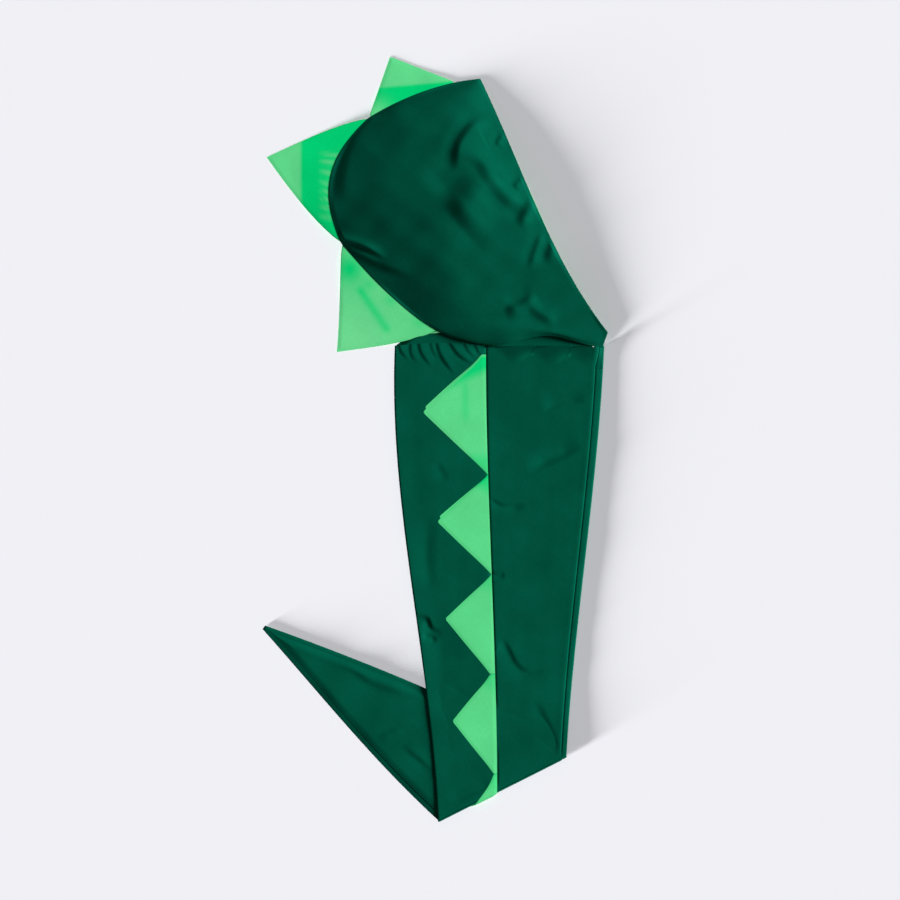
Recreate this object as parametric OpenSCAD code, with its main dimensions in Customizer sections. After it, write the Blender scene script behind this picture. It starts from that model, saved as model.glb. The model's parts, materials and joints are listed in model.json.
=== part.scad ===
// A dragon dress-up hood with a long tail, laid on its side on a table. Two lined satin halves make
// the hood, stiffened spikes stand in its back seam and down the tail, and the tail's end is folded under.

/* [Hood] */
// Depth of the hood, from the back of the head to the lower corner of the face edge
hood_w = 320; // [300:1:340]
// Height of the hood, from the neck seam to the top of the face edge
hood_h = 307; // [290:1:325]
// Height that the upper half bulges above its edges
hood_rise = 22; // [12:1:32]
// Height of the face opening at its middle
face_gap = 12; // [8:1:16]
// Height of the back seam above the table at its middle
seam_rise = 9; // [6:1:11]
// Width of lining that shows past the face edge
lining_peek = 3; // [0:0.5:4]

/* [Tail] */
// Width of the tail at the neck seam
tail_w = 236; // [225:1:245]
// Length of the tail, from the neck seam to its tip
tail_l = 838; // [800:1:880]
// Distance from the neck seam to the crease, along the centre seam
crease_at = 511; // [495:1:525]
// Slant of the crease across the tail, in degrees
crease_angle = 26.7; // [22:0.1:30]
// Width of the under panel that is rolled onto the top at the neck
side_roll = 9; // [6:0.5:14]

/* [Tail spikes] */
// Length of the first tail spike along the centre seam
first_spike_l = 138; // [130:1:142]
// Length of each later tail spike along the centre seam
spike_l = 114.5; // [110:0.5:116]
// Reach of the first tail spike from the seam
first_reach = 72; // [60:1:78]
// Reach of the second tail spike from the seam
spike_reach = 59; // [50:1:64]
// Reach that each later spike loses to the one before it
reach_step = 4.7; // [4:0.1:6]

/* [Neck tab] */
// Length of the fastening tab at the right neck corner
tab_l = 55; // [40:1:70]
// Width of the fastening tab
tab_w = 24; // [18:1:28]

/* [Cloth] */
// Thickness of one ply of cloth
ply = 0.6; // [0.5:0.05:0.7]

/* [Hidden] */
dark_green = [0, 0.30, 0.22];
light_green = [0.35, 0.87, 0.53];
felt_white = [0.90, 0.92, 0.88];
hook_grey = [0.16, 0.22, 0.20];

// Free space left round every seam that works as a hinge
seam_gap = 0.3;
// Free space between layers that lie on each other
lay_gap = 0.2;
// Free space between a hood spike and the hood, which lets the spike swing
swing_gap = 1.5;
// Half width of the blunt points of the spikes
blunt = 1.5;
// Inner radius of the crease
crease_r = 0.5;
// Thickness of the hook and loop patches
patch_t = 1;

// Levels of the tail's layers above the table, with the folded end below
spike_t = 3 * ply;
crease_z = spike_t + lay_gap + 2 * ply + crease_r;
under_z = crease_z + crease_r;
outer_z = under_z + ply;
spike_z = outer_z + ply + lay_gap;
neck_top_z = outer_z + ply;
// Level of the hood's underside at the neck
neck_z = neck_top_z - 4 * ply;
// Half the stack of two shells and two linings
half_stack = 2 * ply + lay_gap;

function mix(a, b, t) = a + (b - a) * t;
function clamp01(t) = max(0, min(1, t));
function smooth(t) = let (c = clamp01(t)) c * c * (3 - 2 * c);
function cubic(c, t) =
    pow(1 - t, 3) * c[0] + 3 * t * pow(1 - t, 2) * c[1] + 3 * t * t * (1 - t) * c[2] + pow(t, 3) * c[3];

// Tail edges: x as a fraction of the neck width, in two cubic stretches that meet at a fraction of the length
left_side = [0.65, [-0.454, -0.488, -0.276, -0.243], [-0.243, -0.203, -0.092, -0.006]];
right_side = [0.564, [0.566, 0.538, 0.420, 0.381], [0.381, 0.301, 0.174, 0.016]];
centre = [0.611, [-0.010, -0.013, 0.044, 0.044], [0.044, 0.042, 0.020, 0.005]];
tail_rows = 28;

function edge_x(side, d) =
    let (f = d / tail_l)
    tail_w * (f < side[0] ? cubic(side[1], f / side[0]) : cubic(side[2], (f - side[0]) / (1 - side[0])));
function edge(side, d) = [edge_x(side, d), -d];
function edge_line(side) =
    [for (i = [0:tail_rows]) edge(side, mix(seam_gap, tail_l, i / tail_rows))];
// The right side seam, where the under panel that is rolled over meets the right panel
function side_seam_line() =
    [for (p = edge_line(right_side)) p - [side_roll * (1 - pow(p[1] / tail_l, 2)), 0]];
function reversed(list) = [for (i = [len(list) - 1:-1:0]) list[i]];

// The crease, a straight line through the centre seam
crease_mid = edge(centre, crease_at);
crease_dir = [cos(crease_angle), sin(crease_angle)];
crease_up = [-sin(crease_angle), cos(crease_angle)];
crease_outer_r = crease_r + 2 * ply;
// Distance from the neck at which the crease meets a side, found by repeated correction
function crease_meets(side, d = crease_at, tries = 8) =
    tries == 0
        ? d
        : crease_meets(side, crease_at - tan(crease_angle) * (edge_x(side, d) - crease_mid[0]), tries - 1);
crease_left = edge(left_side, crease_meets(left_side));
crease_right = edge(right_side, crease_meets(right_side));
// Where a point of the straight tail lies once the end is folded under
function folded(p) =
    let (v = p - crease_mid)
    crease_mid + (v * crease_dir) * crease_dir - (v * crease_up) * crease_up;

// Hood outline: fractions of the hood's depth and height from the nape, in cubic stretches
function on_hood(points) = [for (p = points) [p[0] * hood_w, p[1] * hood_h]];
crown_curve = on_hood([[-0.044, 0.998], [-0.171, 0.982], [-0.306, 0.929], [-0.428, 0.850]]);
back_curve = on_hood([[-0.428, 0.850], [-0.576, 0.705], [-0.608, 0.576], [-0.525, 0.382]]);
nape_curve = on_hood([[-0.525, 0.382], [-0.423, 0.260], [-0.318, 0.139], [-0.183, 0.056]]);
face_curve = on_hood([[-0.029, 1.000], [0.118, 0.673], [0.209, 0.336], [0.427, 0.049]]);
crown_tip = on_hood([[-0.352, 1.083]])[0];
back_tip = on_hood([[-0.794, 0.707]])[0];
nape_tip = on_hood([[-0.543, -0.022]])[0];

// Rows of the hood, from the crown corner down to the neck, and the rows where the back seam's stretches end
hood_rows = 25;
hood_cols = 12;
crown_end = 7 / hood_rows;
back_end = 16 / hood_rows;
nape_end = 23 / hood_rows;
// Row where the crown spike starts
crown_spike_start = 0.05;
// Row where the hood's underside starts to climb to the neck seam
climb_start = 0.7;
// Rows between which the lining shows
peek_rows = [0.36, 0.63];

nape_end_right = [0, seam_gap];
nape_end_left = [edge_x(left_side, 0), seam_gap];
chin_corner = [edge_x(right_side, 0) - 2, seam_gap];

function hood_back(s, neck_end) =
    s < crown_end ? cubic(crown_curve, s / crown_end)
    : s < back_end ? cubic(back_curve, (s - crown_end) / (back_end - crown_end))
    : s < nape_end ? cubic(nape_curve, (s - back_end) / (nape_end - back_end))
    : mix(nape_curve[3], neck_end, (s - nape_end) / (1 - nape_end));
function hood_face(s) =
    s < nape_end ? cubic(face_curve, s / nape_end)
    : mix(face_curve[3], chin_corner, (s - nape_end) / (1 - nape_end));
function peek(s) =
    let (f = (s - peek_rows[0]) / (peek_rows[1] - peek_rows[0]))
    f > 0 && f < 1 ? lining_peek * sin(180 * f) : 0;
// Fullness of the hood along its rows, none at the crown corner and the neck
function fullness(s) = pow(max(0, sin(180 * s)), 0.8);

function hood_base(s) = neck_z * smooth((s - climb_start) / (1 - climb_start));
function seam_z(s) = hood_base(s) + half_stack + seam_rise * fullness(s);
function left_z(s, t) = hood_base(s) + seam_rise * fullness(s) * pow(1 - t, 3);
function face_z(s) = hood_base(s) + 2 * half_stack + face_gap * sin(180 * s);
function right_z(s, t) =
    mix(seam_z(s) + half_stack, face_z(s), t)
    + hood_rise * fullness(s) * pow(max(0, sin(180 * t)), 0.8);

function with_z(p, z) = [p[0], p[1], z];
function right_half(drop) = function (s, t)
    with_z(mix(hood_back(s, nape_end_right), hood_face(s), t), right_z(s, t) - drop);
function left_half(lift) = function (s, t)
    with_z(mix(hood_back(s, nape_end_left), hood_face(s) + [peek(s), 0], t), left_z(s, t) + lift);

// Hood spikes: which rows of the back seam each stands in, and its point
hood_spikes = [
    ["crown", crown_spike_start, crown_end, crown_tip],
    ["back", crown_end, back_end, back_tip],
    ["nape", back_end, nape_end, nape_tip]
];
// Share of a spike that lies flat on the table, from its point
spike_flat = 0.35;
// Share of a spike's length and depth left free round its core
core_margin = 0.08;
// Free space between a hood spike's core and the plies on either side of it
core_free = 0.15;

function unit(v) = v / norm(v);
// A place on a hood spike: s runs along the seam, t from the point to the seam
function hood_spike_at(spike, z0) = function (s, t)
    let (
        row = mix(spike[1], spike[2], s),
        tip = spike[3],
        a = hood_back(spike[1], nape_end_left),
        b = hood_back(spike[2] - 0.001, nape_end_left),
        along = unit(b - a),
        seam = hood_back(min(row, spike[2] - 0.001), nape_end_left),
        outward = unit(tip - (a + b) / 2),
        root = seam + outward * swing_gap + along * swing_gap * (1 - 2 * s),
        end = tip + along * blunt * (2 * s - 1),
        climb = pow(clamp01((t - spike_flat) / (1 - spike_flat)), 1.5)
    )
    with_z(mix(end, root, t), z0 + (seam_z(row) - spike_t / 2) * climb);

// The table point that the part is centred on, as a place in the pattern whose origin is the nape
x_low = folded(edge(left_side, tail_l))[0];
x_high = face_curve[3][0];
y_low = crease_left[1] - crease_outer_r * crease_up[1];
y_high = crown_tip[1] + blunt;
pattern_centre = [(x_low + x_high) / 2, (y_low + y_high) / 2];

layers = ["back", "core", "front"];

// A closed sheet between two surfaces given as functions of s and t, both from 0 to 1
module sheet(rows, cols, lower, upper) {
    count = (rows + 1) * (cols + 1);
    grid = [for (i = [0:rows]) for (j = [0:cols]) [i / rows, j / cols]];
    points = concat([for (g = grid) lower(g[0], g[1])], [for (g = grid) upper(g[0], g[1])]);
    low = function (i, j) i * (cols + 1) + j;
    up = function (i, j) count + low(i, j);
    quad = function (a, b, c, d) [[a, b, c], [a, c, d]];
    top = [for (i = [0:rows - 1]) for (j = [0:cols - 1])
        each quad(up(i, j), up(i, j + 1), up(i + 1, j + 1), up(i + 1, j))];
    bottom = [for (i = [0:rows - 1]) for (j = [0:cols - 1])
        each quad(low(i, j), low(i + 1, j), low(i + 1, j + 1), low(i, j + 1))];
    ends = [for (j = [0:cols - 1]) each concat(
        quad(low(0, j), low(0, j + 1), up(0, j + 1), up(0, j)),
        quad(low(rows, j + 1), low(rows, j), up(rows, j), up(rows, j + 1)))];
    sides = [for (i = [0:rows - 1]) each concat(
        quad(low(i, 0), up(i, 0), up(i + 1, 0), low(i + 1, 0)),
        quad(low(i + 1, cols), up(i + 1, cols), up(i, cols), low(i, cols)))];
    polyhedron(points, concat(top, bottom, ends, sides));
}

module on_table() {
    translate([-pattern_centre[0], -pattern_centre[1], 0]) children();
}

module hood_right_shell() {
    color(dark_green) sheet(hood_rows, hood_cols, right_half(ply), right_half(0));
}

module hood_right_lining() {
    color(light_green) sheet(hood_rows, hood_cols, right_half(2 * ply), right_half(ply));
}

module hood_left_shell() {
    color(dark_green) sheet(hood_rows, hood_cols, left_half(0), left_half(ply));
}

module hood_left_lining() {
    color(light_green) sheet(hood_rows, hood_cols, left_half(ply), left_half(2 * ply));
}

// One ply or the core of a hood spike; the core stops short of the edges and lies free between the plies
module hood_spike(spike, layer) {
    margin = layer == 1 ? core_margin : 0;
    free = layer == 1 ? core_free : 0;
    place = function (z0) let (whole = hood_spike_at(spike, z0))
        function (s, t) whole(mix(margin, 1 - margin, s), mix(margin, 1 - margin / 4, t));
    color(layer == 1 ? felt_white : light_green)
        sheet(8, 8, place(layer * ply + free), place((layer + 1) * ply - free));
}

// Everything on the neck's side of the crease, or on the tip's side
module crease_side(side) {
    span = 2 * tail_l;
    translate(crease_mid)
        rotate(crease_angle)
        translate([-span / 2, side > 0 ? seam_gap : -seam_gap - span])
        square([span, span]);
}

module plate(z, thickness, side) {
    translate([0, 0, z])
        linear_extrude(thickness)
        intersection() {
            children();
            crease_side(side);
        }
}

// The straight tail's end, turned under about the crease
module folded_under() {
    translate([crease_mid[0], crease_mid[1], crease_z])
        rotate([0, 0, crease_angle])
        rotate([180, 0, 0])
        rotate([0, 0, -crease_angle])
        translate([-crease_mid[0], -crease_mid[1], -crease_z])
        children();
}

module left_panel(side) {
    color(dark_green)
        plate(outer_z, ply, side)
        polygon(concat(edge_line(left_side), reversed(edge_line(centre))));
}

module right_panel(side) {
    color(dark_green)
        plate(outer_z, ply, side)
        polygon(concat(edge_line(centre), reversed(side_seam_line())));
}

// The under panel, with the strip of it that is rolled onto the top along the right side
module under_panel(side) {
    color(dark_green) {
        plate(under_z, ply, side)
            polygon(concat(edge_line(left_side), reversed(edge_line(right_side))));
        plate(outer_z, ply, side)
            polygon(concat(side_seam_line(), reversed(edge_line(right_side))));
    }
}

// The turn of cloth at the crease, a half tube about the fold's axis
module tail_crease() {
    color(dark_green)
        translate([crease_left[0], crease_left[1], crease_z])
        rotate([0, 0, crease_angle])
        rotate([90, 0, 90])
        linear_extrude(norm(crease_right - crease_left))
        intersection() {
            difference() {
                circle(r = crease_outer_r, $fn = 48);
                circle(r = crease_r, $fn = 48);
            }
            translate([-2 * crease_outer_r, -crease_outer_r])
                square([2 * crease_outer_r, 2 * crease_outer_r]);
        }
}

// Tail spikes, counted from the neck
spike_start = 10;
spike_gap = 0.4;
// Place of each spike's point along its length, and width of the band of cloth left before, between and after
apex_shares = [0.48, 0.47, 0.445, 0.47, 0.6, 0.47];
bands = [5.5, 0.5, 0.5, 6, 4, 6, 6];
function spike_from(i) = spike_start + (i == 0 ? 0 : first_spike_l + (i - 1) * spike_l);
function spike_to(i) = spike_start + first_spike_l + i * spike_l;
function reach_of(i) = i == 0 ? first_reach : spike_reach - reach_step * (i - 1);

module tail_spike_outline(i, layer) {
    from = spike_from(i) + spike_gap;
    to = spike_to(i) - spike_gap;
    apex = edge(centre, mix(from, to, apex_shares[i])) - [reach_of(i), 0];
    outline = [
        edge(centre, from),
        edge(centre, from) - [bands[i], 0],
        apex + [0, blunt],
        apex - [0, blunt],
        edge(centre, to) - [bands[i + 1], 0],
        edge(centre, to)
    ];
    middle = (edge(centre, from) + edge(centre, to) + apex) / 3;
    shrink = layer == 1 ? 1 - 2 * core_margin : 1;
    polygon([for (p = outline) mix(middle, p, shrink)]);
}

module tail_spike(i, layer, side) {
    color(layer == 1 ? felt_white : light_green)
        plate(spike_z + layer * ply, ply, side)
        tail_spike_outline(i, layer);
}

// The fastening tab, sewn into the right end of the neck seam and tucked under the tail
tab_edge = edge_x(right_side, 0) + 0.5;
tab_low = -tab_w - 2;
tab_axis_z = under_z - lay_gap / 2;
strap_z = tab_axis_z - lay_gap / 2 - 2 * ply;
patch_l = 0.6 * tab_l;
patch_inset = 2.5;

module neck_tab_strap() {
    color(dark_green)
        translate([0, tab_low, strap_z])
        linear_extrude(2 * ply) {
            translate([tab_edge - tab_l + tab_w / 2, 0]) square([tab_l - tab_w / 2, tab_w]);
            translate([tab_edge - tab_l + tab_w / 2, tab_w / 2]) circle(d = tab_w, $fn = 64);
        }
}

module neck_tab_hook_patch() {
    color(hook_grey)
        translate([tab_edge - tab_l + tab_w / 2, tab_low + patch_inset, strap_z - patch_t])
        linear_extrude(patch_t)
        square([patch_l, tab_w - 2 * patch_inset]);
}

// The loop patch, sewn to the outside of the left half beside its chin corner
loop_rows = [0.845, 0.915];
loop_cols = [0.62, 0.92];
module neck_loop_patch() {
    place = function (lift) let (half = left_half(lift))
        function (s, t) half(mix(loop_rows[0], loop_rows[1], s), mix(loop_cols[0], loop_cols[1], t));
    color(hook_grey) sheet(4, 4, place(-lay_gap / 2 - patch_t), place(-lay_gap / 2));
}

on_table() hood_right_shell();
on_table() hood_left_shell();
on_table() hood_right_lining();
on_table() hood_left_lining();
for (spike = hood_spikes) {
    for (k = [0:2]) {
        on_table() hood_spike(spike, k);
    }
}
on_table() left_panel(1);  // tail_left_panel
on_table() right_panel(1);  // tail_right_panel
on_table() under_panel(1);  // tail_under_panel
on_table() folded_under() left_panel(-1);  // tail_end_left_panel
on_table() folded_under() right_panel(-1);  // tail_end_right_panel
on_table() folded_under() under_panel(-1);  // tail_end_under_panel
on_table() tail_crease();
for (k = [0:2]) {
    for (i = [0:3]) {
        on_table() tail_spike(i, k, 1);
    }
    on_table() tail_spike(4, k, 1);
    on_table() folded_under() tail_spike(4, k, -1);
    on_table() folded_under() tail_spike(5, k, -1);
}
on_table() neck_tab_strap();
on_table() neck_tab_hook_patch();
on_table() neck_loop_patch();
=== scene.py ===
"""Dragon dress-up hood with a long tail, laid on a table, with its linings, spikes and neck fastening."""

import json

import bpy
import numpy as np
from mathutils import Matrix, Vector


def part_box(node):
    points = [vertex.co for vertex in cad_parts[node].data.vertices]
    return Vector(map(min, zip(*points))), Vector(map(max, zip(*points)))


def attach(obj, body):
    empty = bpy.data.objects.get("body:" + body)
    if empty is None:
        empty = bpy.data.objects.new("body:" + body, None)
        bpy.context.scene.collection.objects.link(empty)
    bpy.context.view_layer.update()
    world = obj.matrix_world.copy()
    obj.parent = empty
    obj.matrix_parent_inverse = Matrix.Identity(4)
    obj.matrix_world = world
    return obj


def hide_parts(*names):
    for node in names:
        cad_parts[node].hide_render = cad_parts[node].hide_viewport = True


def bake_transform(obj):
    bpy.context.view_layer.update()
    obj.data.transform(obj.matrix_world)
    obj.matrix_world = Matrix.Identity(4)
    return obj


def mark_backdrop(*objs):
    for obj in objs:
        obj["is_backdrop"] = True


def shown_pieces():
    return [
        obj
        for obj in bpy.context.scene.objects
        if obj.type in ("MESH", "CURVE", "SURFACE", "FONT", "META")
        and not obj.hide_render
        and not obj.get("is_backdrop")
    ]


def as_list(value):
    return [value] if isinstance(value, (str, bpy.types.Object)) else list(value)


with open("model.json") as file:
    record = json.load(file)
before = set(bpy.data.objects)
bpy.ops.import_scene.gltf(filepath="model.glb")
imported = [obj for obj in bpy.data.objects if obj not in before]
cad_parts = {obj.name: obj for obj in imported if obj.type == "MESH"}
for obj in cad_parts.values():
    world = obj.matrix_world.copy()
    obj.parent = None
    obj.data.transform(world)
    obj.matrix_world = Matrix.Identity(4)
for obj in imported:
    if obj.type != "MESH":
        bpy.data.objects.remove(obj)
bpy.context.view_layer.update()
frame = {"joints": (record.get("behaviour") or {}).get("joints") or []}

bl_info = {
    "name": "Dragon dress-up hood",
    "version": (1, 0, 0),
    "blender": (4, 5, 0),
    "location": "View3D > Sidebar > Dragon hood",
    "description": "Builds a satin dragon hood with a spiked tail, laid on a table",
    "category": "Add Mesh",
}

MM = 0.001

# Hood outline, as fractions of the hood's depth and height from the nape
CROWN_CURVE = [(-0.044, 0.998), (-0.171, 0.982), (-0.306, 0.929), (-0.428, 0.850)]
BACK_CURVE = [(-0.428, 0.850), (-0.576, 0.705), (-0.608, 0.576), (-0.525, 0.382)]
NAPE_CURVE = [(-0.525, 0.382), (-0.423, 0.260), (-0.318, 0.139), (-0.183, 0.056)]
FACE_CURVE = [(-0.029, 1.000), (0.118, 0.673), (0.209, 0.336), (0.427, 0.049)]
# Rows of the hood, from the crown corner at 0 to the neck at 1, where stretches of the back seam end
CROWN_START = 0.05
CROWN_END = 0.28
BACK_END = 0.64
NAPE_END = 0.92
CLIMB_START = 0.7
PEEK_ROWS = (0.16, 0.66)

# Tail edges: where the two cubic stretches meet, and x in each, as fractions of the neck width
LEFT_SIDE = (0.65, (-0.454, -0.488, -0.276, -0.243), (-0.243, -0.203, -0.092, -0.006))
RIGHT_SIDE = (0.564, (0.566, 0.538, 0.420, 0.381), (0.381, 0.301, 0.174, 0.016))
CENTRE_SEAM = (0.611, (-0.010, -0.013, 0.044, 0.044), (0.044, 0.042, 0.020, 0.005))

# Layers of a spike, from below
LAYERS = ("back", "core", "front")

# Tail spikes: where each point lies along its spike, the width in mm of the bands before, between and
# after them, and how far in mm each upper edge curves in
APEX_SHARES = (0.48, 0.47, 0.445, 0.47, 0.6, 0.47)
SPIKE_BANDS = (5.5, 0.5, 0.5, 6, 4, 6, 6)
TOP_CURVES = (2.0, 1.0, 1.0, 1.5, 4.0, 1.0)
# Distance from the neck to the first, room at each spike's ends, in mm, and the band's share of the rows
FIRST_SPIKE_AT = 10
SPIKE_ROOM = 0.05
BAND_SHARE = 0.12
# Shift of a back ply's point in mm, and the share of it that each layer of the first two spikes takes
PLY_SHIFT = (2.0, 5.5)
PLY_SHARES = (1.0, 0.5, 0.0)
# Core, along the seam and out from it, as shares of the spike, and in mm each layer's height and puff
TAIL_CORE = ((0.15, 0.85), (0.22, 0.75))
TAIL_LAYERS = (0.5, 1.15, 1.1)
TAIL_PUFF = (0.0, 0.0, 0.55)

# Hood spikes: the rows of the back seam they stand in, and their two edges from point to seam, in mm from
# the nape
HOOD_SPIKES = {
    "crown": (CROWN_START, CROWN_END,
              [(-112.7, 332.4), (-90.0, 324.0), (-66.0, 312.5), (-35.5, 300.0)],
              [(-112.7, 332.4), (-121.0, 309.0), (-129.0, 285.0), (-136.9, 261.0)]),
    "back": (CROWN_END, BACK_END,
             [(-254.2, 217.2), (-216.2, 234.4), (-178.2, 253.8), (-136.8, 261.0)],
             [(-254.2, 216.6), (-228.7, 180.7), (-202.2, 144.7), (-167.9, 117.3)]),
    "nape": (BACK_END, NAPE_END,
             [(-173.8, -6.6), (-170.2, 34.5), (-170.2, 76.0), (-167.9, 117.3)],
             [(-173.4, -7.0), (-140.0, -2.0), (-95.2, 2.0), (-58.6, 17.2)]),
}

# Core, along the seam and from point to seam, as shares of the spike, and in mm each layer's height and puff
HOOD_CORE = ((0.08, 0.92), (0.10, 0.97))
HOOD_LAYERS = (0.25, 0.9, 1.05)
HOOD_PUFF = (0.0, 0.2, 0.9)

# Rows and columns of the cloth's grids
UPPER_GRID = (190, 150)
LOWER_GRID = (120, 80)
LINING_GRID = (110, 80)
MAIN_ROWS = 280
END_ROWS = 130

# Upper half: in mm the plies sewn into its back seam and the climb of its edges to the neck, the dome's share
# of the hood's rise, and the ridge's place across the first row, its lean and its range
SEAM_PLIES = 1.4
NECK_CLIMB = 3.0
DOME_SHARE = 0.74
RIDGE_START = 1.02
RIDGE_LEAN = 0.89
RIDGE_RANGE = (0.34, 0.5)
# Lip at the neck: the row where it starts, and in mm its rise at the ends and what the middle adds
LIP_START = 0.86
LIP_RISE = (1.5, 7.5)

# Last rows of the upper half, in mm: sag at the nape, and arch over the neck seam from a row on
NAPE_SAG = 2.6
NECK_ARCH = 12.3
ARCH_START = 0.84

# Pleats of the neck seam right of the nape: where the first starts, their width and rise, in mm, how far a
# full pleat leans over to the right, as a share of its rise, and the share of its width where it drops
PLEAT_START = 8
PLEAT_WIDTH = 42.5
PLEAT_RISE = 5.5
PLEAT_LEAN = 0.9
PLEAT_DROP = 0.98

# Side edges of the tail: half width of the soft edge, and how far the left panel goes under
EDGE_ROUND = 2 * MM
WRAP = 3 * MM

# Folds of the hood: the line each follows in mm from the nape, then in mm its rise on the line's left, the
# half width over which it climbs, and the run over which it falls away
HOOD_FOLDS = [
    ([(8, 258), (-15, 255), (-30, 239), (-37, 223), (-40, 193)], 3.0, 5.5, 22),
    ([(-36, 222), (-12, 206), (2, 185), (22, 163), (54, 147)], 3.4, 7.5, 20),
    ([(52, 170), (42, 153), (32, 134)], 3.0, 7.0, 10),
    ([(-8, 206), (-28, 176), (-52, 154)], 6.5, 18.0, 45),
    ([(17, 243), (12, 236), (7, 228)], 1.4, 3.0, 8),
    ([(40, 192), (33, 186), (27, 180)], 1.4, 3.5, 8),
    ([(80, 134), (72, 115), (64, 92)], 2.4, 6.0, 12),
    ([(62, 134), (53, 110), (44, 84)], 1.4, 4.0, 9),
    ([(55, 60), (37, 48), (17, 43)], 3.2, 5.5, 12),
    ([(42, 46), (60, 33), (78, 22)], 1.8, 5.5, 12),
    ([(-195, 126), (-150, 115), (-115, 98)], 3.2, 2.4, 7),
    ([(-190, 126), (-130, 94), (-84, 78)], 2.0, 4.0, 14),
    ([(-4, 297), (-55, 289), (-101, 275), (-140, 255)], 1.8, 7.0, 30),
    ([(-130, 260), (-156, 237), (-168, 202), (-172, 158)], 2.0, 9.0, 30),
]

# Folds of the tail, the gathers below its neck seam, and the folds of its end, in the same form
TAIL_FOLDS = [
    ([(2, -173), (12, -181), (25, -183), (43, -180)], 1.5, 2.0, 8),
    ([(6, -337), (18, -339), (25, -350), (33, -365), (45, -373), (66, -368)], 1.4, 3.4, 12),
    ([(52, -402), (68, -432), (86, -474)], 1.2, 5.0, 14),
    ([(-100, -311), (-72, -312), (-64, -324), (-50, -329)], 2.4, 3.0, 9),
    ([(-76, -330), (-66, -333), (-57, -337)], 1.6, 2.0, 6),
    ([(1, -258), (10, -262), (20, -261)], 1.2, 2.0, 5),
    ([(114, -66), (85, -68), (63, -76)], 1.4, 4.0, 14),
    ([(110, -118), (83, -129), (46, -146)], 1.8, 5.0, 16),
    ([(-58, -131), (-52, -143), (-44, -154)], 0.7, 4.0, 12),
    ([(-60, -190), (-66, -240), (-60, -285)], 1.0, 8.0, 20),
    ([(10, -505), (-20, -515), (-44, -530)], 1.1, 6.0, 14),
]
NECK_GATHERS = [
    ([(-104, 12), (-102, 0), (-99, -8), (-90, -17)], 0.7, 1.6, 6),
    ([(-88, 12), (-89, 0), (-88, -10), (-80, -20)], 0.7, 1.6, 6),
    ([(-81, 14), (-79, 0), (-75, -11), (-63, -26)], 0.9, 1.6, 7),
    ([(-67, 12), (-65, 0), (-62, -8), (-55, -16)], 0.6, 1.5, 5),
    ([(-60, 16), (-58, 0), (-52, -15), (-37, -35)], 1.1, 1.8, 8),
    ([(-50, 14), (-43, 2), (-32, -12), (-14, -22)], 1.1, 1.8, 8),
    ([(-30, 12), (-26, 0), (-21, -8), (-12, -14)], 0.7, 1.6, 6),
    ([(-18, 12), (-14, 0), (-11, -7), (-4, -12)], 0.7, 1.6, 5),
]
END_FOLDS = [
    ([(-176, -366), (-153, -375), (-132, -388), (-86, -404)], 0.9, 4.0, 14),
    ([(-95, -438), (-110, -442), (-128, -449)], 0.7, 3.0, 10),
    ([(-100, -458), (-82, -472), (-62, -490)], 0.8, 3.0, 10),
    ([(-124, -373), (-180, -355), (-238, -336)], 0.4, 3.0, 12),
]

# Cloth: sharp edges in degrees, noise scales across and along the yarns and of the blotches, and gloss
SHARP_ANGLE = 70
YARN_SCALE = (1900.0, 150.0)
BLOTCH_SCALE = 22.0
SPECULAR = 0.01
SHEEN_ROUGHNESS = 0.4

# Lamps: the direction towards each, its strength and its size in degrees, and the room's own light
KEY_SUN = ((0.99, 0.14, 0.325), 8.5, 24.0)
SIDE_SUN = ((0.6, 0.2, 1.0), 2.7, 30.0)
HOOD_SUN = ((-1.0, -0.7, 0.32), 5.45, 20.0)
TAIL_SUN = ((-1.0, -0.6, 0.10), 16.2, 9.0)
ROOM_LIGHT = 0.12

# Table and camera: half the table's width, the camera's place and its clipping in metres, and lens in mm
TABLE_HALF = 12.0
CAMERA_PLACE = (0.0176, -0.0133, 3.0)
CAMERA_CLIP = (0.05, 50.0)
LENS = 104.35
SENSOR = 36.0


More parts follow.
